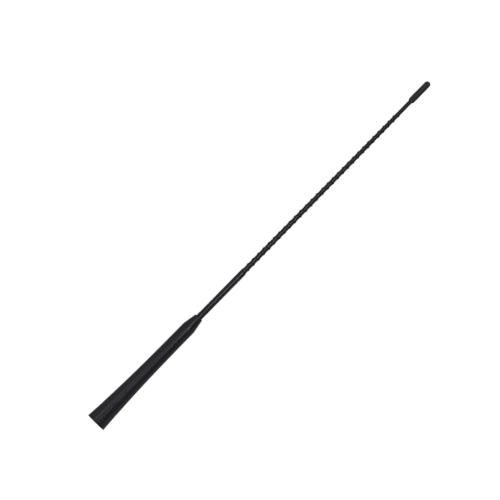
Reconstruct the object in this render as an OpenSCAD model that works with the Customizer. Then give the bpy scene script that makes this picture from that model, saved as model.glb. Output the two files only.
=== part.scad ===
// Car mast aerial: a glass-fibre whip wound with copper wire under a shrunk sleeve,
// crimped in a threaded ferrule and moulded into a flared rubber boot, with a rubber cap on its tip.
// +Z runs up the mast, and the origin is the centre of the foot's sealing face.

/* [Boot] */
// Height of the boot, from the foot to the face of its nose
boot_len = 126.9; // [110:1:150]
// Diameter of the foot
foot_d = 18.75; // [16:0.05:22]
// Diameter of the boot where its flare has run out, under the nose
neck_d = 12.4; // [10.8:0.1:14]
// How fast the flare runs out: 1 is a straight cone, and more hollows it
flare_power = 2.5; // [1.5:0.05:3.5]
// Height of the tapered nose
nose_len = 12.6; // [8:0.1:18]
// Diameter of the nose at its flat face
nose_d = 8; // [7.4:0.1:9.5]
// Rounding of the edges of the foot and nose
boot_edge = 0.4; // [0.2:0.05:0.7]
// Height of the thin lip that grips the whip above the nose
lip_len = 4.2; // [2:0.1:7]
// Wall of the lip
lip_wall = 0.12; // [0.1:0.01:0.3]
// Diameter of the shallow seat in the foot
seat_d = 12.4; // [11.2:0.1:13.5]
// Depth of the seat, which sets the ferrule above the sealing face
seat_depth = 2; // [1.5:0.1:3.5]

/* [Ferrule] */
// Length of the ferrule
ferrule_len = 32; // [30:0.5:40]
// Diameter of its collar
collar_d = 10; // [9.2:0.1:10.8]
// Length of the collar
collar_len = 3.5; // [2.5:0.1:5]
// Diameter over the knurl and the lands
barrel_d = 8.4; // [7.8:0.1:8.8]
// Length of the straight knurl
knurl_len = 6; // [4:0.5:8]
// Number of teeth round the knurl
knurl_teeth = 24; // [18:1:30]
// Depth of the knurl's teeth
knurl_depth = 0.35; // [0.2:0.05:0.5]
// Number of grooves that key the ferrule into the rubber
groove_count = 2; // [1:1:3]
// Width of each groove, and of the land above it
groove_w = 1.6; // [1.2:0.1:1.8]
// Depth of each groove
groove_depth = 0.9; // [0.5:0.1:1.2]
// Diameter of the hole tapped M5
thread_d = 4.2; // [4.1:0.05:4.5]
// Depth of the tapped hole to its full diameter
thread_len = 12; // [9:0.5:13]
// Chamfer at the mouth of the tapped hole
thread_chamfer = 0.5; // [0.3:0.05:0.8]
// Depth of the rod in its socket
socket_len = 13; // [10:0.5:14]

/* [Whip] */
// Diameter of the rod below the spiral
rod_d = 3.96; // [3:0.02:3.98]
// Diameter of the rod above the spiral
rod_tip_d = 2.86; // [2.4:0.02:3.2]
// Diameter of the copper wire
wire_d = 0.5; // [0.46:0.02:0.7]
// Wall of the shrunk sleeve
sleeve_wall = 0.4; // [0.3:0.01:0.45]
// Height of the smooth stretch between the nose and the spiral
smooth_len = 54.9; // [40:0.1:70]
// Turns of the lower stretch of the open spiral
lower_turns = 10; // [6:0.1:10]
// Rise of one turn in the lower stretch
lower_pitch = 6.39; // [5.8:0.01:7.6]
// Turns of the middle stretch, wound a little wider
middle_turns = 5.9; // [3:0.1:6]
// Rise of one turn in the middle stretch
middle_pitch = 6.75; // [5.8:0.01:7.6]
// Turns of the upper stretch
upper_turns = 14.2; // [8:0.1:14.5]
// Rise of one turn in the upper stretch
upper_pitch = 6.21; // [5.8:0.01:7.6]
// Height of the bare stretch between the spiral and the cap
bare_len = 13.3; // [8:0.1:24]
// Bearing at which the wire leaves the close-wound coil, in degrees
spiral_start = 0; // [0:1:359]
// Length of the solder between the ferrule and the coil
solder_len = 1.5; // [1:0.1:3]

/* [Tip cap] */
// Length of the cap
cap_len = 23.5; // [18:0.05:28]
// Diameter of the cap above its rounded mouth
cap_d = 5.7; // [5.2:0.05:6.4]
// Diameter of the cap where its dome starts
cap_top_d = 5.5; // [5:0.05:6.2]
// Height over which the mouth rounds out
cap_shoulder = 2.7; // [0.6:0.1:3]
// Depth of the whip in the cap
cap_grip = 14; // [9:0.5:15]

/* [Hidden] */
$fn = 64;

// The spiral is faceted: so many sides outside, and so many on the wire and the channel that holds it
facets = 14;
wire_facets = 10;
round_out = 1 / cos(180 / wire_facets);
fit_gap = 0.01;
wire_gap = 0.05;
// The ridge that the sleeve makes over the wire: offset up the mast against share of its height
ridge = [[-1.05, 0], [-0.62, 0.6], [-0.25, 1], [0.25, 1], [0.62, 0.6], [1.05, 0]];
ridge_h = wire_d - 0.06;
// Share of a turn over which the wire leaves the coil, and over which the ridge dies away at its end
wire_ease = 0.6;
ridge_fade = 0.12;
// The wire's half height as a square of nearly the round wire's area
wire_half = 0.45 * wire_d;
// The channel that the wire fills inside the ridge, in the same form
channel = [
    [-wire_half - 0.2, 0], [-wire_half - wire_gap, 1],
    [wire_half + wire_gap, 1], [wire_half + 0.2, 0]
];

// Radii of the layers of the whip, and the flat rim round the cap's mouth
coil_r = rod_d / 2 + wire_d;
smooth_r = coil_r + sleeve_wall;
bare_r = rod_tip_d / 2 + sleeve_wall;
cap_rim = 0.1;

// Heights along the mast
nose_z = boot_len - nose_len;
ferrule_top = seat_depth + ferrule_len;
crimp_len = socket_len + 1;
sleeve_cover = 10;
coil_bottom = ferrule_top + solder_len;
shoulder_h = 0.3;
pocket_h = 0.3;
smooth_top = boot_len + smooth_len;
coil_top = smooth_top - pocket_h;
spiral_turns = lower_turns + middle_turns + upper_turns;
spiral_top = wire_z(spiral_turns + ridge_fade) + ridge[len(ridge) - 1][0] + shoulder_h;
cap_z = spiral_top + bare_len;
whip_top = cap_z + cap_grip;

// Points of a round or oval arc about a centre, from one bearing to another, for the outlines
function arc(centre, r, from, to, steps = 6, rise = 0) =
    [for (i = [0 : steps]) let (a = from + (to - from) * i / steps)
        centre + [r * cos(a), (rise > 0 ? rise : r) * sin(a)]];

// Radius of the boot at a height under its nose
function flare_r(z) = neck_d / 2 + (foot_d - neck_d) / 2 * pow(max(0, 1 - z / nose_z), flare_power);

// Outline of the boot, from its axis round the foot, up the flare and nose, and back at the lip
function boot_outline() = let (
    steps = 18,
    nose_slope = atan((neck_d - nose_d) / 2 / nose_len),
    lip_r = smooth_r + lip_wall,
    seat_r = seat_d / 2
) concat(
    [[0, seat_depth], [seat_r, seat_depth], [seat_r, 0]],
    arc([flare_r(boot_edge) - boot_edge, boot_edge], boot_edge, -90, 0, 4),
    [for (i = [1 : steps]) let (z = boot_edge + (nose_z - boot_edge) * i / steps) [flare_r(z), z]],
    arc([nose_d / 2 - boot_edge, boot_len - boot_edge], boot_edge, nose_slope, 90, 4),
    [[lip_r, boot_len], [lip_r, boot_len + lip_len], [0, boot_len + lip_len]]
);

module boot() {
    color("#232326")
    difference() {
        rotate_extrude() polygon(boot_outline());
        ferrule_body();
        translate([0, 0, ferrule_top - sleeve_cover])
            cylinder(r = smooth_r, h = boot_len + lip_len - ferrule_top + sleeve_cover + 1);
    }
}

// Outside of the ferrule: collar, knurl, grooved barrel and crimp neck
module ferrule_body() {
    knurl_z = seat_depth + collar_len;
    groove_z = knurl_z + knurl_len;
    neck_z = ferrule_top - crimp_len;
    barrel_r = barrel_d / 2;
    translate([0, 0, seat_depth]) cylinder(d = collar_d, h = collar_len);
    translate([0, 0, knurl_z]) linear_extrude(knurl_len) knurl_section();
    translate([0, 0, groove_z]) cylinder(r = barrel_r - groove_depth, h = neck_z - groove_z);
    for (i = [1 : groove_count])
        translate([0, 0, groove_z + (2 * i - 1) * groove_w]) cylinder(r = barrel_r, h = groove_w);
    translate([0, 0, neck_z]) cylinder(r = coil_r, h = crimp_len);
}

// Toothed section of the straight knurl
module knurl_section() {
    polygon([for (i = [0 : 2 * knurl_teeth - 1])
        let (a = 180 * i / knurl_teeth, r = barrel_d / 2 - knurl_depth * (i % 2))
        r * [cos(a), sin(a)]]);
}

module ferrule() {
    point_len = thread_d / 2 / tan(59);
    mouth_r = thread_d / 2 + thread_chamfer;
    color("#b8975a")
    difference() {
        ferrule_body();
        rotate_extrude() polygon([
            [0, seat_depth - 1], [mouth_r + 1, seat_depth - 1], [mouth_r, seat_depth],
            [thread_d / 2, seat_depth + thread_chamfer], [thread_d / 2, seat_depth + thread_len],
            [0, seat_depth + thread_len + point_len]
        ]);
        translate([0, 0, ferrule_top - socket_len]) cylinder(d = rod_d, h = socket_len + 1);
    }
}

// Solder that joins the winding to the ferrule
module solder_ring() {
    color("#a9abae")
    translate([0, 0, ferrule_top]) difference() {
        cylinder(r = coil_r, h = solder_len);
        translate([0, 0, -1]) cylinder(d = rod_d, h = solder_len + 2);
    }
}

// Rod of glass fibre, ground to a taper over the spiral
module core_rod() {
    color("#d8cfa8")
    rotate_extrude() polygon([
        [0, ferrule_top - socket_len], [rod_d / 2, ferrule_top - socket_len],
        [rod_d / 2, coil_top], [rod_tip_d / 2, spiral_top], [rod_tip_d / 2, whip_top], [0, whip_top]
    ]);
}

// Radius of the rod at a height
function rod_r(z) = let (share = (z - coil_top) / (spiral_top - coil_top))
    rod_d / 2 + (rod_tip_d - rod_d) / 2 * min(1, max(0, share));

// Height of the wire's centre, so many turns on from the top of the close-wound coil
function wire_z(turn) = coil_top - wire_d / 2
    + lower_pitch * eased(min(lower_turns, turn))
    + middle_pitch * min(middle_turns, max(0, turn - lower_turns))
    + upper_pitch * max(0, turn - lower_turns - middle_turns);
// Turns that count as risen, since the rise grows evenly from nothing as the wire leaves the coil
function eased(turn) = turn < 0 ? turn
    : turn < wire_ease ? pow(turn, 2) / (2 * wire_ease) : turn - wire_ease / 2;
// Point on the mast at a radius, a share of a turn on from the spiral's start, and a height
function on_mast(r, turn, z) = let (a = spiral_start + 360 * turn) [r * cos(a), r * sin(a), z];

// Open spiral of the wire, square in section, wound on the rod as it rises out of the coil's end
module open_spiral() {
    steps = round(spiral_turns * wire_facets);
    sections = [for (i = [0 : steps]) let (
        turn = i / wire_facets,
        z = wire_z(turn),
        low = max(coil_top - wire_gap, z - wire_half),
        high = max(coil_top + wire_gap, z + wire_half),
        inner = (rod_r(z) + fit_gap) * round_out,
        outer = rod_r(z) + wire_d - 2 * fit_gap
    ) for (corner = [[inner, low], [outer, low], [outer, high], [inner, high]])
        on_mast(corner[0], turn, corner[1])];
    last = len(sections) - 4;
    walls = [for (i = [0 : steps - 1], k = [0 : 3])
        let (a = 4 * i + k, b = 4 * i + (k + 1) % 4)
        each [[a, b, b + 4], [a, b + 4, a + 4]]];
    polyhedron(sections, concat([[3, 2, 1, 0]], walls, [[for (k = [0 : 3]) last + k]]));
}

// Copper winding: its close-wound turns as one tube, then the open spiral
module antenna_winding() {
    color("#b06a3c")
    union() {
        translate([0, 0, coil_bottom]) difference() {
            cylinder(r = coil_r, h = coil_top - coil_bottom);
            translate([0, 0, -1]) cylinder(d = rod_d, h = coil_top - coil_bottom + 2);
        }
        open_spiral();
    }
}

// Turns wound when the wire passes nearest to a point at a share of a turn and a height
turn_table = [for (turn = [-2 : 0.1 : spiral_turns + 5]) [wire_z(turn), turn]];
function wound_at(turn, z) = round(lookup(z, turn_table) - turn) + turn;
// Offset up the mast from the wire there
function offset_at(turn, z) = z - wire_z(wound_at(turn, z));
// Share of the ridge's full height there, as it dies away past the wire's upper end
function fade_at(turn, z) = min(1, max(0, (spiral_turns + ridge_fade - wound_at(turn, z)) / ridge_fade));

// Points of a skin with so many sides: level rings first, then strands that follow the wire.
// A strand that would start below the lower height, or end above the upper one, is held there.
function skin_points(sides, rings, form, low, high, radius_at) = concat(
    [for (ring = rings, col = [0 : sides - 1]) on_mast(ring[0], col / sides, ring[1])],
    [for (row = [0 : strand_rows(form) - 1], col = [0 : sides - 1]) let (
        turn = col / sides,
        z = min(high, max(low, wire_z(floor(row / len(form)) - 1 + turn) + form[row % len(form)][0]))
    ) on_mast(radius_at(turn, z), turn, z)]
);
function strand_rows(form) = len(form) * (ceil(spiral_turns) + 4);

// Faces of a skin, seen from outside. Past the last side a strand goes on as the one a turn above.
function skin_faces(points, sides, rings, form) = let (rows = rings + strand_rows(form))
    [for (row = [0 : rows - 2], col = [0 : sides - 1]) let (
        lift = col == sides - 1 ? len(form) : 0,
        right = (col + 1) % sides,
        a = row * sides + col,
        b = (row < rings ? row : min(rows - 1, row + lift)) * sides + right,
        c = (row + 1 < rings ? row + 1 : min(rows - 1, row + 1 + lift)) * sides + right,
        d = a + sides
    ) each concat(
        norm(points[b] - points[c]) < 1e-6 ? [] : [[a, c, b]],
        norm(points[a] - points[d]) < 1e-6 ? [] : [[a, d, c]]
    )];

// Flat ring of faces between an outer and an inner row of points that starts at the same bearing
function ring_faces(outer, outer_sides, inner, inner_sides) = [
    for (i = [0 : outer_sides - 1])
        let (k = round(i * inner_sides / outer_sides) % inner_sides)
        [outer + i, outer + (i + 1) % outer_sides, inner + k],
    for (k = [0 : inner_sides - 1])
        let (i = [for (i = [0 : outer_sides - 1]) if (round(i * inner_sides / outer_sides) == k) i])
        [inner + (k + 1) % inner_sides, inner + k, outer + (i[len(i) - 1] + 1) % outer_sides]
];

// Spiral stretch of the sleeve, a tube whose ridge and channel follow the wire
module spiral_skin() {
    step_r = smooth_r - 3 * fit_gap;
    pocket_r = (coil_r + fit_gap) * round_out;
    outer_rings = [[step_r, coil_top], [step_r, smooth_top]];
    inner_rings = [[pocket_r, coil_top], [pocket_r, smooth_top]];
    outer = skin_points(facets, outer_rings, ridge, smooth_top + shoulder_h, spiral_top,
        function (turn, z) rod_r(z) + sleeve_wall - fit_gap
            + ridge_h * fade_at(turn, z) * lookup(offset_at(turn, z), ridge));
    inner = skin_points(wire_facets, inner_rings, channel, smooth_top, spiral_top,
        function (turn, z) let (bore_r = (rod_r(z) + fit_gap) * round_out) bore_r
            + (rod_r(z) + wire_d + wire_gap - bore_r)
                * fade_at(turn, z) * lookup(offset_at(turn, z), channel));
    inner_from = len(outer);
    outer_faces = skin_faces(outer, facets, len(outer_rings), ridge);
    inner_faces = skin_faces(inner, wire_facets, len(inner_rings), channel);
    lower = ring_faces(0, facets, inner_from, wire_facets);
    upper = ring_faces(inner_from - facets, facets,
        inner_from + len(inner) - wire_facets, wire_facets);
    polyhedron(concat(outer, inner), concat(
        outer_faces,
        [for (face = inner_faces) [for (k = [2, 1, 0]) face[k] + inner_from]],
        lower,
        [for (face = upper) [face[2], face[1], face[0]]]
    ));
}

// Sleeve shrunk over the crimp neck, the coil, the spiral and the bare top of the rod
module whip_sleeve() {
    color("#1b1b1d")
    union() {
        translate([0, 0, ferrule_top - sleeve_cover]) difference() {
            cylinder(r = smooth_r, h = coil_top - ferrule_top + sleeve_cover);
            translate([0, 0, -1]) cylinder(r = coil_r, h = coil_top - ferrule_top + sleeve_cover + 2);
        }
        spiral_skin();
        translate([0, 0, spiral_top]) difference() {
            cylinder(r = bare_r, h = whip_top - spiral_top);
            translate([0, 0, -1]) cylinder(d = rod_tip_d, h = whip_top - spiral_top + 2);
        }
    }
}

// Moulded cap, with a rounded mouth and a domed end
module tip_cap() {
    mouth_r = bare_r + cap_rim;
    top_r = cap_top_d / 2;
    dome_z = cap_z + cap_len - top_r;
    color("#2a2a2e")
    rotate_extrude() polygon(concat(
        [[0, whip_top], [bare_r, whip_top], [bare_r, cap_z]],
        arc([mouth_r, cap_z + cap_shoulder], cap_d / 2 - mouth_r, -90, 0, 6, cap_shoulder),
        arc([0, dome_z], top_r, 0, 90, 10)
    ));
}

boot();
ferrule();
solder_ring();
core_rod();
antenna_winding();
whip_sleeve();
tip_cap();
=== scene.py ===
"""Car mast aerial, dressed for the camera over its fixed frame.

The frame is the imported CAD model. Each sub-assembly of the mast is a class that holds its sizes in
millimetres, builds its meshes and dresses them. Heights run up the mast from the foot's sealing face.
"""
import logging
import math
from dataclasses import dataclass
from enum import Enum
from typing import Callable, Sequence, Union

import bpy
from mathutils import Matrix, Vector


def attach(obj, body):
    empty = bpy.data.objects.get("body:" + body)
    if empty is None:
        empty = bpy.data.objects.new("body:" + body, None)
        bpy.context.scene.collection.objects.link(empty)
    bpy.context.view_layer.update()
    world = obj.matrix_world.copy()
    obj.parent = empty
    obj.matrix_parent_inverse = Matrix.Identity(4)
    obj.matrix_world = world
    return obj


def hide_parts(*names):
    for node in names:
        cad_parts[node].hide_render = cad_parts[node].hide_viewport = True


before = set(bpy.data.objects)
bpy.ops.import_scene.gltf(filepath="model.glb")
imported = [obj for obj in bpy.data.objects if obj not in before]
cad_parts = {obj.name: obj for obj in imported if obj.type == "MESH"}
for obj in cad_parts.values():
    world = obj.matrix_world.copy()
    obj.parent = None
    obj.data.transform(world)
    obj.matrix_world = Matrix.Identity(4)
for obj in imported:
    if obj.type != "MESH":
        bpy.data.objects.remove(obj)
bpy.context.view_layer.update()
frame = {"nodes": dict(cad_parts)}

MM = 0.001
FULL_TURN = 2 * math.pi
BODY = "root"
LOG = logging.getLogger("mast")

Pair = tuple[float, float]
Outline = list[Pair]
Colour = tuple[float, float, float]


class Slot(Enum):
    """Names of the record's material slots, one for each new piece's finish; nothing here reads them."""

    BOOT = "boot_rubber"
    BRASS = "ferrule_brass"
    WIRE = "copper_wire"
    SLEEVE = "sleeve_plastic"
    CAP = "cap_rubber"


class Axis(Enum):
    """Axes that a grain can be drawn out along, as its scale on each axis."""

    EVEN = (1.0, 1.0, 1.0)
    UP_THE_MAST = (1.0, 1.0, 0.04)
    ROUND_THE_MAST = (0.12, 0.12, 1.0)


# ---- shader maths


class Value:
    """A number that varies over a surface. Arithmetic on it adds the Math nodes that work it out."""

    def __init__(self, shader: "Shader", socket: bpy.types.NodeSocket) -> None:
        """Wraps a socket.

        Args:
            shader: The node tree that the socket is in.
            socket: An output socket that carries one number.
        """
        self.shader = shader
        self.socket = socket

    def _math(self, operation: str, first: "Number", second: "Number") -> "Value":
        """Adds one Math node.

        Args:
            operation: The node's operation.
            first: Its first number.
            second: Its second number.

        Returns:
            The node's result.
        """
        node = self.shader.add("ShaderNodeMath", {"operation": operation}, {0: first, 1: second})
        return Value(self.shader, node.outputs[0])

    def __add__(self, other: "Number") -> "Value":
        """Sum."""
        return self._math("ADD", self, other)

    __radd__ = __add__

    def __sub__(self, other: "Number") -> "Value":
        """Difference."""
        return self._math("SUBTRACT", self, other)

    def __rsub__(self, other: "Number") -> "Value":
        """Difference from a number."""
        return self._math("SUBTRACT", other, self)

    def __mul__(self, other: "Number") -> "Value":
        """Product."""
        return self._math("MULTIPLY", self, other)

    __rmul__ = __mul__

    def __truediv__(self, other: "Number") -> "Value":
        """Quotient."""
        return self._math("DIVIDE", self, other)

    def most(self, other: "Number") -> "Value":
        """Larger of the two."""
        return self._math("MAXIMUM", self, other)

    def bearing(self, other: "Number") -> "Value":
        """Angle of a point from its two distances, in radians."""
        return self._math("ARCTAN2", self, other)

    def mean(self, other: "Value", share: float) -> "Value":
        """Weighted mean of the two.

        Args:
            other: The other value.
            share: How much of the mean is this one.

        Returns:
            The mean.
        """
        return self * share + other * (1 - share)

    def step(self, low: float, high: float) -> "Value":
        """Share of the way from one number to another, smoothed and held between nothing and one.

        Args:
            low: Where the share is nothing.
            high: Where the share is one.

        Returns:
            The share.
        """
        node = self.shader.add(
            "ShaderNodeMapRange",
            {"interpolation_type": "SMOOTHSTEP"},
            {"Value": self, "From Min": low, "From Max": high},
        )
        return Value(self.shader, node.outputs["Result"])


Number = Union[Value, float, int]
Feeds = dict[Union[str, int], Union[Value, bpy.types.NodeSocket, float, int, Sequence[float]]]


class Shader:
    """A material's or the world's node tree, emptied to start with."""

    def __init__(self, owner: Union[bpy.types.Material, bpy.types.World]) -> None:
        """Takes over a node tree.

        Args:
            owner: The material or world that the nodes are for.
        """
        owner.use_nodes = True
        self.tree = owner.node_tree
        self.tree.nodes.clear()

    def add(
        self, kind: str, settings: dict | None = None, feeds: Feeds | None = None
    ) -> bpy.types.Node:
        """Adds a node.

        Args:
            kind: The node's type.
            settings: Its own settings, which are set first.
            feeds: Values or links of its input sockets, by name or number.

        Returns:
            The node.
        """
        node = self.tree.nodes.new(kind)
        for name, setting in (settings or {}).items():
            if name == "stops":
                self._stops(node.color_ramp, setting)
            else:
                setattr(node, name, setting)
        for name, feed in (feeds or {}).items():
            socket = node.inputs[name]
            if isinstance(feed, Value):
                feed = feed.socket
            if isinstance(feed, bpy.types.NodeSocket):
                self.tree.links.new(feed, socket)
            elif isinstance(feed, (int, float)) or len(feed) == len(socket.default_value):
                socket.default_value = feed
            else:
                socket.default_value = (*feed, 1.0)
        return node

    @staticmethod
    def _stops(ramp: bpy.types.ColorRamp, stops: Sequence[Pair]) -> None:
        """Sets a ramp's stops.

        Args:
            ramp: The ramp of a Color Ramp node.
            stops: Place and grey level of each stop, from the left.
        """
        ramp.interpolation = "LINEAR"
        while len(ramp.elements) < len(stops):
            ramp.elements.new(1.0)
        for element, (place, level) in zip(ramp.elements, stops):
            element.position = place
            element.color = (level, level, level, 1.0)

    def place(self, stretch: Axis = Axis.EVEN) -> bpy.types.NodeSocket:
        """Place on the piece, in metres from the mast's foot.

        Args:
            stretch: The axis that a pattern on it is drawn out along.

        Returns:
            The place, as a vector.
        """
        coordinates = self.add("ShaderNodeTexCoord").outputs["Object"]
        mapping = self.add("ShaderNodeMapping", None, {"Vector": coordinates, "Scale": stretch.value})
        return mapping.outputs["Vector"]

    def noise(self, at: bpy.types.NodeSocket, grain: float, detail: float = 2.0) -> Value:
        """Cloudy noise about one half.

        Args:
            at: The place to read it at.
            grain: Size of its cells in millimetres.
            detail: How many finer layers it has.

        Returns:
            The noise.
        """
        feeds = {"Vector": at, "Scale": 1 / (grain * MM), "Detail": detail, "Roughness": 0.55}
        return Value(self, self.add("ShaderNodeTexNoise", None, feeds).outputs["Fac"])

    def pits(self, at: bpy.types.NodeSocket, grain: float) -> Value:
        """Rounded cells, nothing at their centres.

        Args:
            at: The place to read it at.
            grain: Size of a cell in millimetres.

        Returns:
            Distance from the nearest centre, as a share of a cell.
        """
        node = self.add("ShaderNodeTexVoronoi", None, {"Vector": at, "Scale": 1 / (grain * MM)})
        return Value(self, node.outputs["Distance"])

    def blend(self, share: Value, first: Colour, second: Colour) -> bpy.types.NodeSocket:
        """Mixes two colours.

        Args:
            share: Share of the second colour.
            first: The colour where the share is nothing.
            second: The colour where it is one.

        Returns:
            The mixed colour.
        """
        node = self.add("ShaderNodeMix", {"data_type": "RGBA"}, {0: share, 6: first, 7: second})
        return node.outputs[2]

    def bump(self, height: Value, depth: float) -> bpy.types.NodeSocket:
        """Turns a height into a surface normal.

        Args:
            height: The height, between nothing and one.
            depth: How deep one is, in millimetres.

        Returns:
            The normal.
        """
        feeds = {"Height": height, "Strength": 1.0, "Distance": depth * MM}
        return self.add("ShaderNodeBump", None, feeds).outputs["Normal"]

    def finish(self, surface: bpy.types.NodeSocket, kind: str = "ShaderNodeOutputMaterial") -> None:
        """Ends the tree.

        Args:
            surface: The shader that shows.
            kind: The type of output node.
        """
        self.add(kind, None, {"Surface": surface})


# ---- finishes

RUBBER_IOR = 1.5
RESIN_IOR = 1.52


@dataclass(frozen=True)
class Finish:
    """What a piece is made of, as its shader shows it."""

    name: str

    def feeds(self, shader: Shader) -> Feeds:
        """Works out what goes into the shader.

        Args:
            shader: The material's node tree.

        Returns:
            The inputs, by name.
        """
        raise NotImplementedError

    def material(self) -> bpy.types.Material:
        """Makes the material.

        Returns:
            The material.
        """
        made = bpy.data.materials.new(self.name)
        shader = Shader(made)
        bsdf = shader.add("ShaderNodeBsdfPrincipled", None, self.feeds(shader))
        shader.finish(bsdf.outputs["BSDF"])
        return made


@dataclass(frozen=True)
class Rubber(Finish):
    """Black moulded rubber or shrunk plastic, with a spark-eroded or a drawn grain.

    Attributes:
        fresh: Colour of the untouched surface.
        dulled: Colour of the patches that are worn dull.
        grain: Size of the grain in millimetres, as grain_depth is its depth.
        stretch: Axis that the grain is drawn out along.
        patch: Size of the patches in millimetres.
        patch_edge: Noise at which a patch begins, and at which it is full.
        pit: Size of a pit, in grains.
        patch_tint: Share of the colour that follows the patches, where the rest follows the grain.
        patch_gloss: The same share of the roughness.
        bump_grain: Share of the bump that is grain, where the rest is pits.
    """

    fresh: Colour
    dulled: Colour
    rough_fresh: float
    rough_dulled: float
    grain: float
    grain_depth: float
    stretch: Axis = Axis.EVEN
    patch: float = 9.0
    patch_edge: Pair = (0.35, 0.7)
    pit: float = 1.6
    patch_tint: float = 0.7
    patch_gloss: float = 0.6
    bump_grain: float = 0.6

    def feeds(self, shader: Shader) -> Feeds:
        """Works out what goes into the shader.

        Args:
            shader: The material's node tree.

        Returns:
            The inputs, by name.
        """
        at = shader.place(self.stretch)
        patches = shader.noise(shader.place(), self.patch, 3.0).step(*self.patch_edge)
        grain = shader.noise(at, self.grain, 3.0)
        pits = shader.pits(at, self.grain * self.pit)
        more = self.rough_dulled - self.rough_fresh
        return {
            "Base Color": shader.blend(patches.mean(grain, self.patch_tint), self.fresh, self.dulled),
            "Roughness": self.rough_fresh + more * patches.mean(grain, self.patch_gloss),
            "IOR": RUBBER_IOR,
            "Normal": shader.bump(grain.mean(pits, self.bump_grain), self.grain_depth),
        }


@dataclass(frozen=True)
class Metal(Finish):
    """Turned or drawn metal, with fine tool lines and a little tarnish.

    Attributes:
        bright: Colour of the bare metal.
        tarnish: Colour of the patches that are tarnished, whose size and edge are as on rubber.
        lines: Width of the tool lines in millimetres, as line_depth is their depth.
        stretch: Axis that the lines run along.
        rougher: How much a tool line or the tarnish adds to the roughness.
    """

    bright: Colour
    tarnish: Colour
    rough: float
    lines: float
    line_depth: float
    stretch: Axis = Axis.ROUND_THE_MAST
    patch: float = 3.5
    patch_edge: Pair = (0.42, 0.72)
    rougher: float = 0.12

    def feeds(self, shader: Shader) -> Feeds:
        """Works out what goes into the shader.

        Args:
            shader: The material's node tree.

        Returns:
            The inputs, by name.
        """
        lines = shader.noise(shader.place(self.stretch), self.lines, 2.0)
        tarnish = shader.noise(shader.place(), self.patch, 4.0).step(*self.patch_edge)
        return {
            "Base Color": shader.blend(tarnish, self.bright, self.tarnish),
            "Metallic": 1.0,
            "Roughness": self.rough + (lines + tarnish) * self.rougher,
            "Normal": shader.bump(lines, self.line_depth),
        }


@dataclass(frozen=True)
class GlassFibre(Finish):
    """Pale resin with fibres that run up the rod.

    Attributes:
        strand: Width of a strand of fibres in millimetres, as strand_depth is how far it stands out.
        strand_edge: Noise at which a strand begins, and at which it is full.
        rougher: How much the fibres add to the roughness.
    """

    resin: Colour
    fibre: Colour
    strand: float = 0.25
    strand_edge: Pair = (0.35, 0.65)
    strand_depth: float = 0.01
    rough: float = 0.28
    rougher: float = 0.2

    def feeds(self, shader: Shader) -> Feeds:
        """Works out what goes into the shader.

        Args:
            shader: The material's node tree.

        Returns:
            The inputs, by name.
        """
        fibres = shader.noise(shader.place(Axis.UP_THE_MAST), self.strand, 3.0)
        return {
            "Base Color": shader.blend(fibres.step(*self.strand_edge), self.resin, self.fibre),
            "Roughness": self.rough + fibres * self.rougher,
            "IOR": RESIN_IOR,
            "Normal": shader.bump(fibres, self.strand_depth),
        }


SATIN_BLACK = (0.0069, 0.0066, 0.0112)
SATIN_DULLED = (0.0092, 0.0088, 0.0142)

BOOT_RUBBER = Rubber(
    name="boot_rubber_satin", fresh=SATIN_BLACK, dulled=SATIN_DULLED,
    rough_fresh=0.24, rough_dulled=0.3, grain=0.25, grain_depth=0.0025,
)
SLEEVE_PLASTIC = Rubber(
    name="sleeve_plastic_satin", fresh=SATIN_BLACK, dulled=SATIN_DULLED,
    rough_fresh=0.24, rough_dulled=0.3, grain=0.25, grain_depth=0.0015, stretch=Axis.UP_THE_MAST,
)
CAP_RUBBER = Rubber(
    name="cap_rubber_matt", fresh=(0.0102, 0.0101, 0.0152), dulled=(0.014, 0.0138, 0.0198),
    rough_fresh=0.5, rough_dulled=0.62, grain=0.3, grain_depth=0.012,
)
FERRULE_BRASS = Metal(
    name="ferrule_brass_turned", bright=(0.72, 0.54, 0.26), tarnish=(0.42, 0.29, 0.13),
    rough=0.2, lines=0.22, line_depth=0.006,
)
SOLDER = Metal(
    name="solder_tin", bright=(0.62, 0.63, 0.65), tarnish=(0.4, 0.4, 0.41),
    rough=0.32, lines=0.5, line_depth=0.02, stretch=Axis.EVEN,
)
COPPER_WIRE = Metal(
    name="copper_wire_enamelled", bright=(0.66, 0.27, 0.12), tarnish=(0.44, 0.17, 0.08),
    rough=0.22, lines=0.2, line_depth=0.003,
)
GLASS_FIBRE = GlassFibre(name="glass_fibre_rod", resin=(0.66, 0.6, 0.4), fibre=(0.76, 0.73, 0.58))


# ---- modelling

WELD_REACH = 0.0005
SCREW_REACH = 0.001
SMOOTH_ANGLE = math.radians(32)


def deselect() -> None:
    """Leaves edit mode and selects nothing."""
    if bpy.context.object and bpy.context.object.mode != "OBJECT":
        bpy.ops.object.mode_set(mode="OBJECT")
    bpy.ops.object.select_all(action="DESELECT")


def work_on(piece: bpy.types.Object) -> None:
    """Selects one piece alone and makes it the active one.

    Args:
        piece: The piece to work on.
    """
    deselect()
    piece.select_set(True)
    bpy.context.view_layer.objects.active = piece


def pick(piece: bpy.types.Object, wanted: Callable[[Vector], bool]) -> None:
    """Goes into edit mode with only some points selected, and the edges and faces between them.

    Args:
        piece: The piece.
        wanted: Says of a point's place whether it is selected.
    """
    work_on(piece)
    bpy.ops.object.mode_set(mode="EDIT")
    bpy.ops.mesh.select_mode(type="VERT")
    bpy.ops.mesh.select_all(action="DESELECT")
    bpy.ops.object.mode_set(mode="OBJECT")
    for point in piece.data.vertices:
        point.select = wanted(point.co)
    bpy.ops.object.mode_set(mode="EDIT")
    bpy.ops.mesh.select_mode(type="VERT")


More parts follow.
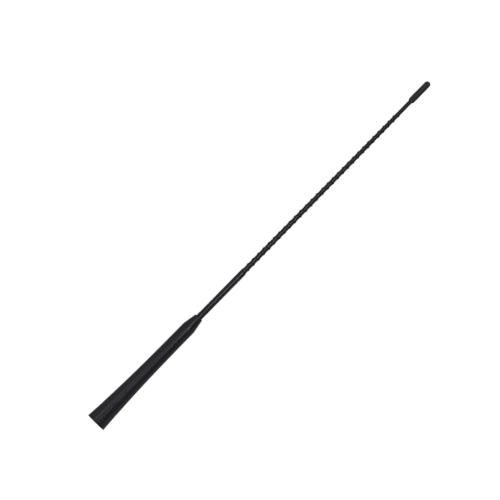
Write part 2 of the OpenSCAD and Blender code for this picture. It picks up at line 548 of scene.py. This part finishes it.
def weld(piece: bpy.types.Object) -> None:
    """Merges points that meet and turns all faces outwards.

    Args:
        piece: The piece.
    """
    pick(piece, lambda point: True)
    bpy.ops.mesh.remove_doubles(threshold=WELD_REACH * MM)
    bpy.ops.mesh.select_all(action="SELECT")
    bpy.ops.mesh.normals_make_consistent(inside=False)
    deselect()


def extrude_ring(radius: float, height: float, last: Pair) -> None:
    """Extrudes the selected ring to a new radius and height about the mast.

    Args:
        radius: The new radius, in millimetres.
        height: The new height.
        last: Radius and height of the ring that is selected.
    """
    rise = (0.0, 0.0, (height - last[1]) * MM)
    bpy.ops.mesh.extrude_edges_move(TRANSFORM_OT_translate={"value": rise})
    share = radius / last[0]
    bpy.ops.transform.resize(value=(share, share, 1.0), center_override=(0.0, 0.0, height * MM))


def turn_solid(name: str, outline: Outline, sides: int) -> bpy.types.Object:
    """Turns an outline about the mast, by extruding a circle from one corner to the next.

    An outline that begins and ends on the axis is closed there, and any other closes on its start.

    Args:
        name: The piece's name.
        outline: Radius and height of its corners, in millimetres, once round.
        sides: How many sides the circle has.

    Returns:
        The piece.
    """
    on_axis = outline[0][0] == 0
    corners = list(outline[1:-1] if on_axis else outline)
    deselect()
    start = (0.0, 0.0, corners[0][1] * MM)
    bpy.ops.mesh.primitive_circle_add(vertices=sides, radius=corners[0][0] * MM, location=start)
    piece = bpy.context.object
    piece.name = piece.data.name = name
    bpy.ops.object.transform_apply(location=True, rotation=True, scale=True)
    bpy.ops.object.mode_set(mode="EDIT")
    bpy.ops.mesh.select_all(action="SELECT")
    if on_axis:
        close_pole(outline[0][1] - corners[0][1])
        bpy.ops.object.mode_set(mode="OBJECT")
        pick(piece, lambda point: math.hypot(point.x, point.y) > corners[0][0] * MM / 2)
    last = corners[0]
    for corner in corners[1:] + ([] if on_axis else corners[:1]):
        extrude_ring(*corner, last)
        last = corner
    if on_axis:
        close_pole(outline[-1][1] - last[1])
    weld(piece)
    return piece


def close_pole(rise: float) -> None:
    """Extrudes the selected ring to a point on the axis.

    Args:
        rise: How far above the ring the point is, in millimetres.
    """
    bpy.ops.mesh.extrude_edges_move(TRANSFORM_OT_translate={"value": (0.0, 0.0, rise * MM)})
    bpy.ops.mesh.merge(type="CENTER")


def line_of_points(name: str, points: Outline) -> bpy.types.Object:
    """Draws a line over the +X axis by extruding one point after another.

    Args:
        name: The piece's name.
        points: Distance from the axis, and height, of each point in millimetres.

    Returns:
        The piece, with points and edges alone.
    """
    deselect()
    bpy.ops.mesh.primitive_plane_add(size=MM)
    piece = bpy.context.object
    piece.name = piece.data.name = name
    bpy.ops.object.mode_set(mode="EDIT")
    bpy.ops.mesh.select_all(action="SELECT")
    bpy.ops.mesh.merge(type="CENTER")
    across, height = points[0]
    bpy.ops.transform.translate(value=(across * MM, 0.0, height * MM))
    for nearer, further in zip(points, points[1:]):
        step = ((further[0] - nearer[0]) * MM, 0.0, (further[1] - nearer[1]) * MM)
        bpy.ops.mesh.extrude_vertices_move(TRANSFORM_OT_translate={"value": step})
    deselect()
    return piece


def apply_modifier(piece: bpy.types.Object, kind: str, settings: dict) -> None:
    """Adds a modifier to a piece and applies it.

    Args:
        piece: The piece.
        kind: The modifier's type.
        settings: Its settings.
    """
    work_on(piece)
    modifier = piece.modifiers.new(kind.title(), kind)
    for name, setting in settings.items():
        setattr(modifier, name, setting)
    bpy.ops.object.modifier_apply(modifier=modifier.name)


def wind(piece: bpy.types.Object, pitch: float, turns: int, steps: int) -> None:
    """Winds a line over the +X axis up the mast, as a tube or skin of even pitch.

    Args:
        piece: The line.
        pitch: Rise of a turn in millimetres.
        turns: How many turns are wound.
        steps: How many straight steps a turn has.
    """
    apply_modifier(piece, "SCREW", {
        "axis": "Z", "angle": FULL_TURN, "screw_offset": pitch * MM, "iterations": turns,
        "steps": steps, "render_steps": steps,
        "use_merge_vertices": True, "merge_threshold": SCREW_REACH * MM,
    })


def dress(piece: bpy.types.Object, finish: bpy.types.Material, node: str) -> None:
    """Gives a piece its finish and its place on the mast.

    Args:
        piece: The piece.
        finish: Its material.
        node: The CAD node that the piece stands for.
    """
    piece.data.materials.clear()
    piece.data.materials.append(finish)
    work_on(piece)
    bpy.ops.object.shade_smooth_by_angle(angle=SMOOTH_ANGLE)
    deselect()
    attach(piece, BODY)
    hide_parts(node)
    mesh = piece.data
    LOG.info("%s: %d points, %d faces", piece.name, len(mesh.vertices), len(mesh.polygons))


def refinish(node: str, finish: bpy.types.Material) -> None:
    """Gives a CAD node that keeps its shape a better material.

    Args:
        node: The node's name.
        finish: Its material.
    """
    for slot in bpy.data.objects[node].material_slots:
        slot.material = finish
    LOG.info("%s: kept, refinished", node)


def arc(centre: Pair, radius: float, start: float, end: float, steps: int) -> Outline:
    """Corners on an arc of an outline.

    Args:
        centre: Distance of its centre from the axis, and its height.
        radius: The arc's radius.
        start: Bearing it starts at, in degrees up from outwards.
        end: Bearing it ends at.
        steps: How many pieces it has.

    Returns:
        The corners.
    """
    bearings = [math.radians(start + (end - start) * i / steps) for i in range(steps + 1)]
    return [(centre[0] + radius * math.cos(a), centre[1] + radius * math.sin(a)) for a in bearings]


# ---- the mast

SEAM_SHARE = 1e-5


@dataclass(frozen=True)
class Whip:
    """Sizes that the whip's layers share, and the path of the wire on the rod.

    Attributes:
        wall: Thickness of the sleeve.
        coil_top: Height where the close-wound coil opens out.
        spiral_top: Height where the spiral's ridge has ended.
        cap_z: Height of the cap's mouth.
        top: Height of the whip's end, inside the cap.
        ease: Share of a turn over which the wire leaves the coil.
    """

    rod_r: float = 1.98
    rod_tip_r: float = 1.43
    wire_r: float = 0.25
    wall: float = 0.4
    coil_top: float = 181.5
    spiral_top: float = 373.335
    cap_z: float = 386.635
    top: float = 400.635
    lower_turns: float = 10.0
    lower_pitch: float = 6.39
    middle_turns: float = 5.9
    middle_pitch: float = 6.75
    upper_turns: float = 14.2
    upper_pitch: float = 6.21
    coil_pitch: float = 0.5
    ease: float = 0.6

    @property
    def coil_r(self) -> float:
        """Radius over the coil."""
        return self.rod_r + 2 * self.wire_r

    @property
    def smooth_r(self) -> float:
        """Radius of the sleeve over the coil."""
        return self.coil_r + self.wall

    @property
    def bare_r(self) -> float:
        """Radius of the sleeve past the spiral."""
        return self.rod_tip_r + self.wall

    @property
    def turns(self) -> float:
        """Turns of the open spiral."""
        return self.lower_turns + self.middle_turns + self.upper_turns

    def wire_z(self, turn: float) -> float:
        """Height of the wire's centre.

        Args:
            turn: Turns from the top of the close-wound coil, less than nothing inside it.

        Returns:
            The height.
        """
        start = self.coil_top - self.wire_r
        if turn < 0:
            return start + self.coil_pitch * turn
        lower = min(turn, self.lower_turns)
        risen = lower**2 / (2 * self.ease) if lower < self.ease else lower - self.ease / 2
        middle = min(self.middle_turns, max(0.0, turn - self.lower_turns))
        upper = max(0.0, turn - self.lower_turns - self.middle_turns)
        stretches = ((risen, self.lower_pitch), (middle, self.middle_pitch), (upper, self.upper_pitch))
        return start + sum(turns * pitch for turns, pitch in stretches)

    def rod_at(self, z: float) -> float:
        """Radius of the tapered rod.

        Args:
            z: The height.

        Returns:
            The radius.
        """
        share = (z - self.coil_top) / (self.spiral_top - self.coil_top)
        return self.rod_r + (self.rod_tip_r - self.rod_r) * min(1.0, max(0.0, share))


def on_mast(radius: float, turn: float, height: float) -> Vector:
    """Place of a point about the mast.

    Args:
        radius: Its radius in millimetres.
        turn: Its bearing, in turns from the +X side.
        height: Its height in millimetres.

    Returns:
        The place in metres.
    """
    bearing = FULL_TURN * turn
    return Vector((radius * math.cos(bearing), radius * math.sin(bearing), height)) * MM


def bearing_of(point: Vector) -> float:
    """Bearing of a point about the mast.

    Args:
        point: The point.

    Returns:
        Share of a turn from the +X side, from nothing up to one.
    """
    share = math.atan2(point.y, point.x) / FULL_TURN % 1.0
    return 0.0 if share > 1 - SEAM_SHARE else share


@dataclass
class Boot:
    """Flared rubber boot with its tapered nose and the thin lip on the whip.

    The seat is the shallow recess in the foot, and the collar and barrel are the ferrule's.
    """

    whip: Whip
    length: float = 126.9
    foot_r: float = 9.375
    neck_r: float = 6.2
    flare_power: float = 2.5
    nose_len: float = 12.6
    nose_r: float = 4.0
    shoulder_reach: float = 1.6
    shoulder_steps: int = 6
    edge: float = 0.4
    edge_steps: int = 5
    lip_len: float = 4.2
    lip_wall: float = 0.12
    seat_r: float = 6.2
    seat_depth: float = 2.0
    seat_edge: float = 0.3
    collar_r: float = 5.0
    collar_len: float = 3.5
    barrel_r: float = 4.2
    ferrule_top: float = 34.0
    crimp_len: float = 14.0
    fit: float = 0.03
    sides: int = 96
    steps: int = 60

    @property
    def nose_z(self) -> float:
        """Height where the nose begins."""
        return self.length - self.nose_len

    def flare(self, z: float) -> float:
        """Radius of the flare at a height under the nose."""
        share = max(0.0, 1 - z / self.nose_z)
        return self.neck_r + (self.foot_r - self.neck_r) * share**self.flare_power

    def outside(self) -> Outline:
        """Outline from the foot's rounded edge up to the top of the lip.

        Returns:
            The corners.
        """
        edge, steps = self.edge, self.steps
        slope = math.degrees(math.atan2(self.neck_r - self.nose_r, self.nose_len))
        foot = arc((self.flare(edge) - edge, edge), edge, -90, 0, self.edge_steps)
        rise = [edge + (self.nose_z - edge) * i / steps for i in range(1, steps)]
        flare = [(self.flare(z), z) for z in rise]
        nose = arc((self.nose_r - edge, self.length - edge), edge, slope, 90, self.edge_steps)
        lip_r, lip_z = self.whip.smooth_r + self.lip_wall, self.length + self.lip_len
        rim = self.lip_wall / 3
        lip = [(lip_r, self.length), (lip_r, lip_z - rim), (lip_r - rim, lip_z)]
        return foot + flare + self.shoulder() + nose + lip

    def shoulder(self) -> Outline:
        """Soft corner between the flare and the nose.

        Returns:
            The corners.
        """
        tangent = (self.neck_r - self.nose_r) / self.nose_len
        reach, steps = self.shoulder_reach, self.shoulder_steps
        corners = []
        for i in range(steps + 1):
            over = 2 * reach * i / steps
            corners.append((self.neck_r - tangent * over**2 / (4 * reach), self.nose_z - reach + over))
        return corners

    def inside(self) -> Outline:
        """Outline of the bore, from the top of the lip back down to the foot.

        Returns:
            The corners.
        """
        whip_r = self.whip.smooth_r + self.fit
        barrel_r, collar_r = self.barrel_r + self.fit, self.collar_r + self.fit
        seat_r, seat, edge = self.seat_r, self.seat_depth, self.seat_edge
        collar_top = seat + self.collar_len + self.fit
        crimp_z = self.ferrule_top - self.crimp_len
        return [
            (whip_r, self.length + self.lip_len), (whip_r, crimp_z),
            (barrel_r, crimp_z), (barrel_r, collar_top), (collar_r, collar_top), (collar_r, seat),
            (seat_r - edge, seat), (seat_r, seat - edge), (seat_r, edge), (seat_r + edge, 0.0),
        ]

    def build(self) -> None:
        """Builds and dresses the boot."""
        piece = turn_solid("rubber_boot", self.outside() + self.inside(), self.sides)
        dress(piece, BOOT_RUBBER.material(), "boot")


@dataclass
class Ferrule:
    """Turned brass ferrule: collar, straight knurl, grooved barrel, crimp neck and M5 thread.

    The web is what the drill's point leaves between the thread and the socket, with a small hole in it.
    """

    whip: Whip
    base: float = 2.0
    length: float = 32.0
    collar_r: float = 5.0
    collar_len: float = 3.5
    barrel_r: float = 4.2
    knurl_len: float = 6.0
    knurl_depth: float = 0.35
    groove_w: float = 1.6
    groove_depth: float = 0.9
    grooves: int = 2
    crimp_len: float = 14.0
    socket_len: float = 13.0
    fit: float = 0.01
    bevel: float = 0.3
    web_r: float = 0.4
    web_drop: float = 0.25
    point_angle: float = 59.0
    mouth_len: float = 0.6
    mouth_over: float = 0.12
    thread_r: float = 2.1
    thread_root_r: float = 2.5
    thread_pitch: float = 0.8
    thread_len: float = 12.0
    thread_turns: int = 16
    thread_steps: int = 48
    lead_in: float = 1.5
    runout: float = 0.6
    sides: int = 96

    @property
    def top(self) -> float:
        """Height of the socket's rim."""
        return self.base + self.length

    def outside(self) -> Outline:
        """Outline of the outside, from the mouth up to the socket's rim.

        Returns:
            The corners.
        """
        collar_r, barrel_r, bevel = self.collar_r, self.barrel_r, self.bevel
        knurl_z = self.base + self.collar_len
        groove_z = knurl_z + self.knurl_len
        core_r = barrel_r - self.groove_depth
        corners = [
            (collar_r - bevel, self.base), (collar_r, self.base + bevel),
            (collar_r, knurl_z - bevel), (collar_r - bevel, knurl_z),
            (barrel_r - bevel, knurl_z), (barrel_r, knurl_z + bevel),
            (barrel_r, groove_z - bevel), (barrel_r - bevel, groove_z), (core_r, groove_z),
        ]
        for i in range(self.grooves):
            land = groove_z + (2 * i + 1) * self.groove_w
            end = land + self.groove_w
            corners += [(core_r, land), (barrel_r, land), (barrel_r, end), (core_r, end)]
        neck_r, neck_z = self.whip.coil_r - self.fit, self.top - self.crimp_len
        return corners + [(core_r, neck_z), (neck_r, neck_z), (neck_r, self.top)]

    def inside(self) -> Outline:
        """Outline of the bore, from the socket's rim down to the mouth of the thread.

        Returns:
            The corners.
        """
        socket_r, socket_z = self.whip.rod_r + self.fit, self.top - self.socket_len
        mouth_r, mouth_z = self.thread_root_r + self.mouth_over, self.base + self.mouth_len
        floor = self.base + self.thread_len
        point = floor + self.thread_r / math.tan(math.radians(self.point_angle))
        return [
            (socket_r, self.top), (socket_r, socket_z), (self.web_r, socket_z),
            (self.web_r, point - self.web_drop), (self.thread_r, floor),
            (self.thread_r, mouth_z), (mouth_r, self.base),
        ]

    def tap(self) -> bpy.types.Object:
        """Makes the tap that cuts the thread.

        Returns:
            A closed solid in the form of the M5 stud.
        """
        pitch = self.thread_pitch
        low, high = self.thread_r - self.fit * 2, self.thread_root_r
        start = self.base - self.lead_in * pitch
        form = [(low, 0), (low, 1 / 4), (high, 9 / 16), (high, 11 / 16), (low, 1)]
        tap = line_of_points("tap", [(r, start + rise * pitch) for r, rise in form])
        wind(tap, pitch, self.thread_turns, self.thread_steps)
        weld(tap)
        pick(tap, lambda point: True)
        low_end, high_end = self.base - self.bevel, self.base + self.thread_len - self.runout
        for height, upper in ((low_end, False), (high_end, True)):
            bpy.ops.mesh.select_all(action="SELECT")
            bpy.ops.mesh.bisect(
                plane_co=(0.0, 0.0, height * MM), plane_no=(0.0, 0.0, 1.0),
                use_fill=True, clear_outer=upper, clear_inner=not upper,
            )
        bpy.ops.mesh.select_all(action="SELECT")
        bpy.ops.mesh.normals_make_consistent(inside=False)
        deselect()
        return tap

    def build(self) -> None:
        """Builds, threads, knurls and dresses the ferrule."""
        piece = turn_solid("brass_ferrule", self.outside() + self.inside(), self.sides)
        self.knurl(piece)
        tap = self.tap()
        apply_modifier(piece, "BOOLEAN", {"operation": "DIFFERENCE", "object": tap, "solver": "EXACT"})
        bpy.data.objects.remove(tap)
        dress(piece, FERRULE_BRASS.material(), "ferrule")

    def knurl(self, piece: bpy.types.Object) -> None:
        """Presses the teeth of the knurl in, every second pair of points round the barrel.

        Args:
            piece: The ferrule.
        """
        knurl_z = self.base + self.collar_len
        low, high = knurl_z + self.bevel / 2, knurl_z + self.knurl_len - self.bevel / 2

        def in_valley(point: Vector) -> bool:
            """Whether a point is at the foot of a tooth."""
            on_barrel = abs(math.hypot(point.x, point.y) / MM - self.barrel_r) < self.bevel / 2
            return on_barrel and low < point.z / MM < high and round(bearing_of(point) * self.sides) % 4 > 1

        pick(piece, in_valley)
        share = 1 - self.knurl_depth / self.barrel_r
        bpy.ops.transform.resize(value=(share, share, 1.0), center_override=(0.0, 0.0, 0.0))
        deselect()


@dataclass
class Winding:
    """Round copper wire, close-wound as a coil and then open as a spiral.

    It is first wound at one wide pitch, and then each point goes to its own height and radius.
    """

    whip: Whip
    bottom: float = 35.5
    section: int = 6
    steps: int = 16
    slack: float = 0.006
    first_pitch: float = 2.0

    def build(self) -> None:
        """Builds and dresses the winding."""
        whip = self.whip
        wire_r = whip.wire_r - self.slack
        closed = math.floor((whip.wire_z(0) - wire_r - self.bottom) / whip.coil_pitch)
        centre = whip.rod_r + whip.wire_r
        turns = math.floor(closed + whip.turns)
        start = whip.turns - turns
        wire = line_of_points("copper_winding", arc((centre, 0.0), wire_r, 0, 360, self.section))
        wind(wire, self.first_pitch, turns, self.steps)
        for point in wire.data.vertices:
            place = point.co / MM
            share = bearing_of(place)
            wound = round(place.z / self.first_pitch - share) + share
            turn = start + wound
            lift = place.z - self.first_pitch * wound
            out = math.hypot(place.x, place.y) - centre
            z = whip.wire_z(turn)
            point.co = on_mast(whip.rod_at(z) + whip.wire_r + out, turn, z + lift)
        weld(wire)
        pick(wire, lambda point: True)
        bpy.ops.mesh.select_all(action="SELECT")
        bpy.ops.mesh.fill_holes(sides=0)
        bpy.ops.mesh.normals_make_consistent(inside=False)
        deselect()
        dress(wire, COPPER_WIRE.material(), "antenna_winding")


@dataclass
class Sleeve:
    """Shrunk sleeve over the whole whip, which stands up in a ridge over the wire.

    Its skin is wound like the wire, so that the rows of its points run along the ridge.
    """

    whip: Whip
    bottom: float = 24.0
    shell: float = 0.2
    ridge_h: float = 0.44
    ridge_crest: float = 0.12
    ridge_foot: float = 1.55
    ridge_fade: float = 0.12
    columns: int = 56
    offsets: tuple[float, ...] = (0.12, 0.36, 0.6, 0.86, 1.16, 1.55, 2.1)
    row_gap: float = 0.4
    overlap: float = 1.0
    turns_under: int = 3
    turns_over: int = 2
    first_pitch: float = 4.0

    @staticmethod
    def ease_out(share: float) -> float:
        """Falls softly from one, at a share of nothing, to nothing."""
        share = min(1.0, max(0.0, share))
        return (1 - share) ** 2 * (1 + 2 * share)

    def ridge(self, offset: float) -> float:
        """Share of the ridge's height at a distance up or down the mast from the wire."""
        return self.ease_out((abs(offset) - self.ridge_crest) / (self.ridge_foot - self.ridge_crest))

    def fade(self, turn: float) -> float:
        """Share of the ridge that is left past the wire's upper end."""
        return self.ease_out((turn - self.whip.turns) / self.ridge_fade)

    def radius(self, turn: float, z: float) -> float:
        """Radius of the sleeve's outside.

        Args:
            turn: Bearing of the place in turns, counted on from the wire's nearest turn.
            z: The height.

        Returns:
            The radius.
        """
        whip = self.whip
        gap = 1.0
        for near in (turn - 1, turn, turn + 1):
            centre = whip.wire_z(near)
            raised = 1.0 if near <= 0 and z < centre else self.ridge(z - centre) * self.fade(near)
            gap *= 1 - raised
        height = 2 * whip.wire_r if z < whip.coil_top else self.ridge_h
        return whip.rod_at(z) + whip.wall + height * (1 - gap)

    def build(self) -> None:
        """Builds and dresses the sleeve."""
        whip = self.whip
        rows = len(self.offsets) * 2
        low, high = whip.coil_top - self.overlap, whip.spiral_top
        profile = [(whip.smooth_r, self.first_pitch * k / rows) for k in range(rows + 1)]
        skin = line_of_points("whip_skin", profile)
        turns = self.turns_under + math.ceil(whip.turns) + self.turns_over
        wind(skin, self.first_pitch, turns, self.columns)
        for point in skin.data.vertices:
            place = point.co / MM
            share = bearing_of(place)
            strand = round((place.z / self.first_pitch - share) * rows)
            turn_number, row = divmod(strand, rows)
            turn = turn_number - self.turns_under + share
            centre, above = whip.wire_z(turn), whip.wire_z(turn + 1)
            squeeze = min(1.0, (above - centre) / (2 * self.offsets[-1] + self.row_gap))
            if row == 0:
                z = centre
            elif row <= len(self.offsets):
                z = centre + self.offsets[row - 1] * squeeze
            else:
                z = above - self.offsets[rows - row - 1] * squeeze
                turn += 1
            z = min(high, max(low, z))
            point.co = on_mast(self.radius(turn, z), turn, z)
        weld(skin)
        self.lengthen(skin, low, self.bottom, whip.smooth_r)
        self.lengthen(skin, high, whip.top, whip.bare_r)
        weld(skin)
        apply_modifier(skin, "SOLIDIFY", {
            "thickness": self.shell * MM, "offset": -1.0, "use_even_offset": False, "use_rim": True,
        })
        dress(skin, SLEEVE_PLASTIC.material(), "whip_sleeve")

    def lengthen(self, skin: bpy.types.Object, start: float, end: float, radius: float) -> None:
        """Extrudes the open ring at a height along the mast.

        Args:
            skin: The sleeve so far.
            start: Height of the ring.
            end: Height that it is drawn out to.
            radius: Radius of the ring.
        """
        pick(skin, lambda point: abs(point.z / MM - start) < SCREW_REACH)
        extrude_ring(radius, end, (radius, start))
        deselect()


@dataclass
class TipCap:
    """Moulded rubber cap with a rounded mouth and a domed end."""

    whip: Whip
    length: float = 23.5
    side_r: float = 2.85
    top_r: float = 2.75
    rim: float = 0.1
    shoulder: float = 2.7
    fit: float = 0.02
    mouth_lift: float = 0.05
    mouth_steps: int = 10
    dome_steps: int = 14
    sides: int = 80

    def build(self) -> None:
        """Builds and dresses the cap."""
        base, end = self.whip.cap_z, self.whip.top + self.fit
        dome_z = base + self.length - self.top_r
        bore_r = self.whip.bare_r + self.fit
        mouth_r = self.whip.bare_r + self.rim
        mouth = [
            (mouth_r + (self.side_r - mouth_r) * out, base + self.shoulder * (1 + up))
            for out, up in arc((0.0, 0.0), 1.0, -90, 0, self.mouth_steps)
        ]
        dome = arc((0.0, dome_z), self.top_r, 0, 90, self.dome_steps)[:-1]
        outline = [(0.0, end), (bore_r, end), (bore_r, base + self.mouth_lift)]
        outline += mouth + dome + [(0.0, dome_z + self.top_r)]
        piece = turn_solid("rubber_tip_cap", outline, self.sides)
        dress(piece, CAP_RUBBER.material(), "tip_cap")


# ---- studio

WHITE = (1.0, 1.0, 1.0)


@dataclass
class Camera:
    """Camera at the photograph's angle: square on to the mast, and rolled so that it leans right.

    Attributes:
        distance: Metres from the mast.
        lean: Degrees from the picture's level line up to the mast.
        foot: Pixel of the centre of the mast's foot.
        frame: Width of the picture in pixels.
        scale: Millimetres that a pixel shows at the mast.
    """

    distance: float = 5.0
    lean: float = 45.57
    foot: Pair = (95.76, 422.64)
    frame: float = 500.0
    scale: float = 0.8604
    sensor: float = 36.0
    reach: float = 50.0

    def build(self) -> None:
        """Makes the camera."""
        lean = math.radians(self.lean)
        right = Vector((math.sin(lean), 0.0, math.cos(lean)))
        up = Vector((-math.cos(lean), 0.0, math.sin(lean)))
        back = Vector((0.0, -1.0, 0.0))
        across = (self.frame / 2 - self.foot[0]) * self.scale * MM
        rise = (self.foot[1] - self.frame / 2) * self.scale * MM
        centre = right * across + up * rise
        data = bpy.data.cameras.new("camera")
        data.lens = self.sensor * self.distance / (self.frame * self.scale * MM)
        data.sensor_width = self.sensor
        data.clip_end = self.reach
        camera = bpy.data.objects.new("camera", data)
        camera.matrix_world = Matrix.Translation(centre + back * self.distance) @ (
            Matrix((right, up, back)).transposed().to_4x4()
        )
        bpy.context.scene.collection.objects.link(camera)
        bpy.context.scene.camera = camera


@dataclass
class Cards:
    """Grey cards that stand round the mast out of view, which its gloss shows and nothing else does.

    Each level is a bearing, in degrees from the camera's side round to the right, and the grey there.
    """

    radius: float = 0.6
    low: float = -1.6
    high: float = 2.0
    segments: int = 72
    levels: tuple[Pair, ...] = (
        (-180, 1.0), (-150, 1.0), (-128, 0.06), (-97, 0.3), (-74, 0.3), (-53, 0.27), (-35, 0.15),
        (-17, 0.48), (0, 0.02), (17, 0.17), (35, 0.05), (53, 0.01), (74, 0.18), (97, 0.38), (128, 0.06),
        (150, 1.0), (180, 1.0),
    )

    def build(self) -> None:
        """Makes the ring of cards, with its grey level set by the bearing."""
        deselect()
        bpy.ops.mesh.primitive_circle_add(
            vertices=self.segments, radius=self.radius, location=(0.0, 0.0, self.low)
        )
        ring = bpy.context.object
        ring.name = "grey_cards"
        bpy.ops.object.transform_apply(location=True)
        bpy.ops.object.mode_set(mode="EDIT")
        bpy.ops.mesh.select_all(action="SELECT")
        rise = (0.0, 0.0, self.high - self.low)
        bpy.ops.mesh.extrude_edges_move(TRANSFORM_OT_translate={"value": rise})
        deselect()
        ring.data.materials.append(self.material())
        ring.visible_camera = ring.visible_diffuse = ring.visible_shadow = False
        ring.visible_transmission = ring.visible_volume_scatter = False

    def material(self) -> bpy.types.Material:
        """Makes the grey of the cards, kept out of the lamps' sampling, where it would only add noise.

        Returns:
            The material.
        """
        made = bpy.data.materials.new("card_grey")
        made.cycles.emission_sampling = "NONE"
        shader = Shader(made)
        at = shader.add("ShaderNodeTexCoord").outputs["Object"]
        axes = shader.add("ShaderNodeSeparateXYZ", None, {0: at})
        across, along = Value(shader, axes.outputs["X"]), Value(shader, axes.outputs["Y"])
        bearing = across.bearing(along * -1) / FULL_TURN + 0.5
        stops = [((degrees + 180) / 360, level) for degrees, level in self.levels]
        ramp = shader.add("ShaderNodeValToRGB", {"stops": stops}, {"Fac": bearing})
        glow = shader.add("ShaderNodeEmission", None, {"Color": ramp.outputs["Color"]})
        shader.finish(glow.outputs[0])
        return made


@dataclass(frozen=True)
class Softbox:
    """Soft lamp that faces the mast, shown only by the gloss it leaves and the light it gives.

    Its bearing is in degrees from the camera's side round to the right. Its width runs round the mast
    and its length up it, in metres.
    """

    name: str
    bearing: float
    height: float
    width: float
    length: float
    watts: float
    away: float = 0.5

    def build(self) -> None:
        """Makes the lamp."""
        data = bpy.data.lights.new(self.name, "AREA")
        data.shape = "RECTANGLE"
        data.size, data.size_y = self.width, self.length
        data.energy = self.watts
        lamp = bpy.data.objects.new(self.name, data)
        bearing = math.radians(self.bearing)
        place = Vector((math.sin(bearing), -math.cos(bearing), 0.0)) * self.away
        lamp.location = place + Vector((0.0, 0.0, self.height))
        lamp.rotation_euler = place.to_track_quat("Z", "Y").to_euler()
        lamp.visible_camera = False
        bpy.context.scene.collection.objects.link(lamp)


@dataclass
class Studio:
    """Pale floor, pale surroundings, grey cards and soft lamps.

    The floor's glow is added for the camera alone, so that the floor shows white.
    """

    floor_r: float = 3.0
    floor_paint: float = 0.9
    floor_glow: float = 0.35
    world_level: float = 0.83
    lamps: tuple[Softbox, ...] = (
        Softbox("front_strip", 5.0, 0.185, 0.05, 0.1, 0.32),
        Softbox("front_strip_above", 2.0, 0.54, 0.06, 0.16, 0.2),
        Softbox("front_strip_below", 4.0, -0.28, 0.06, 0.24, 1.2),
        Softbox("back_strip", 184.0, 0.18, 0.04, 0.16, 0.26),
        Softbox("wide_upper", -10.0, 0.34, 0.34, 0.08, 0.12),
        Softbox("left_lower", -33.0, 0.03, 0.16, 0.05, 0.05),
    )

    def see_white(self, shader: Shader) -> Value:
        """Finds the rays that see the studio white: the camera's, and those off gloss or through glass.

        Args:
            shader: The node tree that asks.

        Returns:
            One for such a ray, and nothing for any other.
        """
        path = shader.add("ShaderNodeLightPath").outputs
        camera, gloss, through = (
            Value(shader, path[f"Is {kind} Ray"]) for kind in ("Camera", "Glossy", "Transmission")
        )
        return camera.most(gloss).most(through)

    def build(self) -> None:
        """Makes the floor, the surroundings, the cards and the lamps."""
        self.floor()
        self.surroundings()
        Cards().build()
        for lamp in self.lamps:
            lamp.build()

    def floor(self) -> None:
        """Makes the floor, clear from below, white to the camera, and shaded by the mast.

        It throws no shadow of its own, since a lamp stands lower than it.
        """
        deselect()
        bpy.ops.mesh.primitive_circle_add(vertices=64, radius=self.floor_r, fill_type="NGON")
        floor = bpy.context.object
        floor.name = "floor"
        bpy.ops.object.mode_set(mode="EDIT")
        bpy.ops.mesh.select_all(action="SELECT")
        bpy.ops.mesh.inset(thickness=self.floor_r / 4, depth=0.0)
        deselect()
        made = bpy.data.materials.new("floor_white")
        shader = Shader(made)
        paint = shader.add("ShaderNodeBsdfDiffuse", None, {"Color": (self.floor_paint,) * 3})
        glow = shader.add("ShaderNodeEmission", None, {"Color": WHITE, "Strength": self.floor_glow})
        shown = shader.add("ShaderNodeAddShader", None, {0: paint.outputs[0], 1: glow.outputs[0]})
        seen = shader.add("ShaderNodeMixShader", None, {
            0: self.see_white(shader), 1: paint.outputs[0], 2: shown.outputs[0],
        })
        below = shader.add("ShaderNodeNewGeometry").outputs["Backfacing"]
        clear = shader.add("ShaderNodeBsdfTransparent")
        both = shader.add("ShaderNodeMixShader", None, {
            0: below, 1: seen.outputs[0], 2: clear.outputs[0],
        })
        shader.finish(both.outputs[0])
        floor.data.materials.append(made)
        floor.visible_glossy = floor.visible_shadow = False

    def surroundings(self) -> None:
        """Sets the world: white to the camera, and an even light level on the mast."""
        world = bpy.data.worlds.new("surroundings")
        bpy.context.scene.world = world
        shader = Shader(world)
        lit = shader.add("ShaderNodeBackground", None, {"Color": WHITE, "Strength": self.world_level})
        seen = shader.add("ShaderNodeBackground", None, {"Color": WHITE, "Strength": 1.0})
        mixed = shader.add("ShaderNodeMixShader", None, {
            0: self.see_white(shader), 1: lit.outputs[0], 2: seen.outputs[0],
        })
        shader.finish(mixed.outputs[0], "ShaderNodeOutputWorld")


def main() -> None:
    """Builds the mast and its studio."""
    logging.basicConfig(level=logging.INFO, format="%(name)s %(message)s")
    bpy.context.scene.view_settings.view_transform = "Standard"
    Camera().build()
    whip = Whip()
    for part in (Boot(whip), Ferrule(whip), Winding(whip), Sleeve(whip), TipCap(whip)):
        part.build()
    refinish("core_rod", GLASS_FIBRE.material())
    refinish("solder_ring", SOLDER.material())
    Studio().build()


if __name__ == "__main__":
    main()
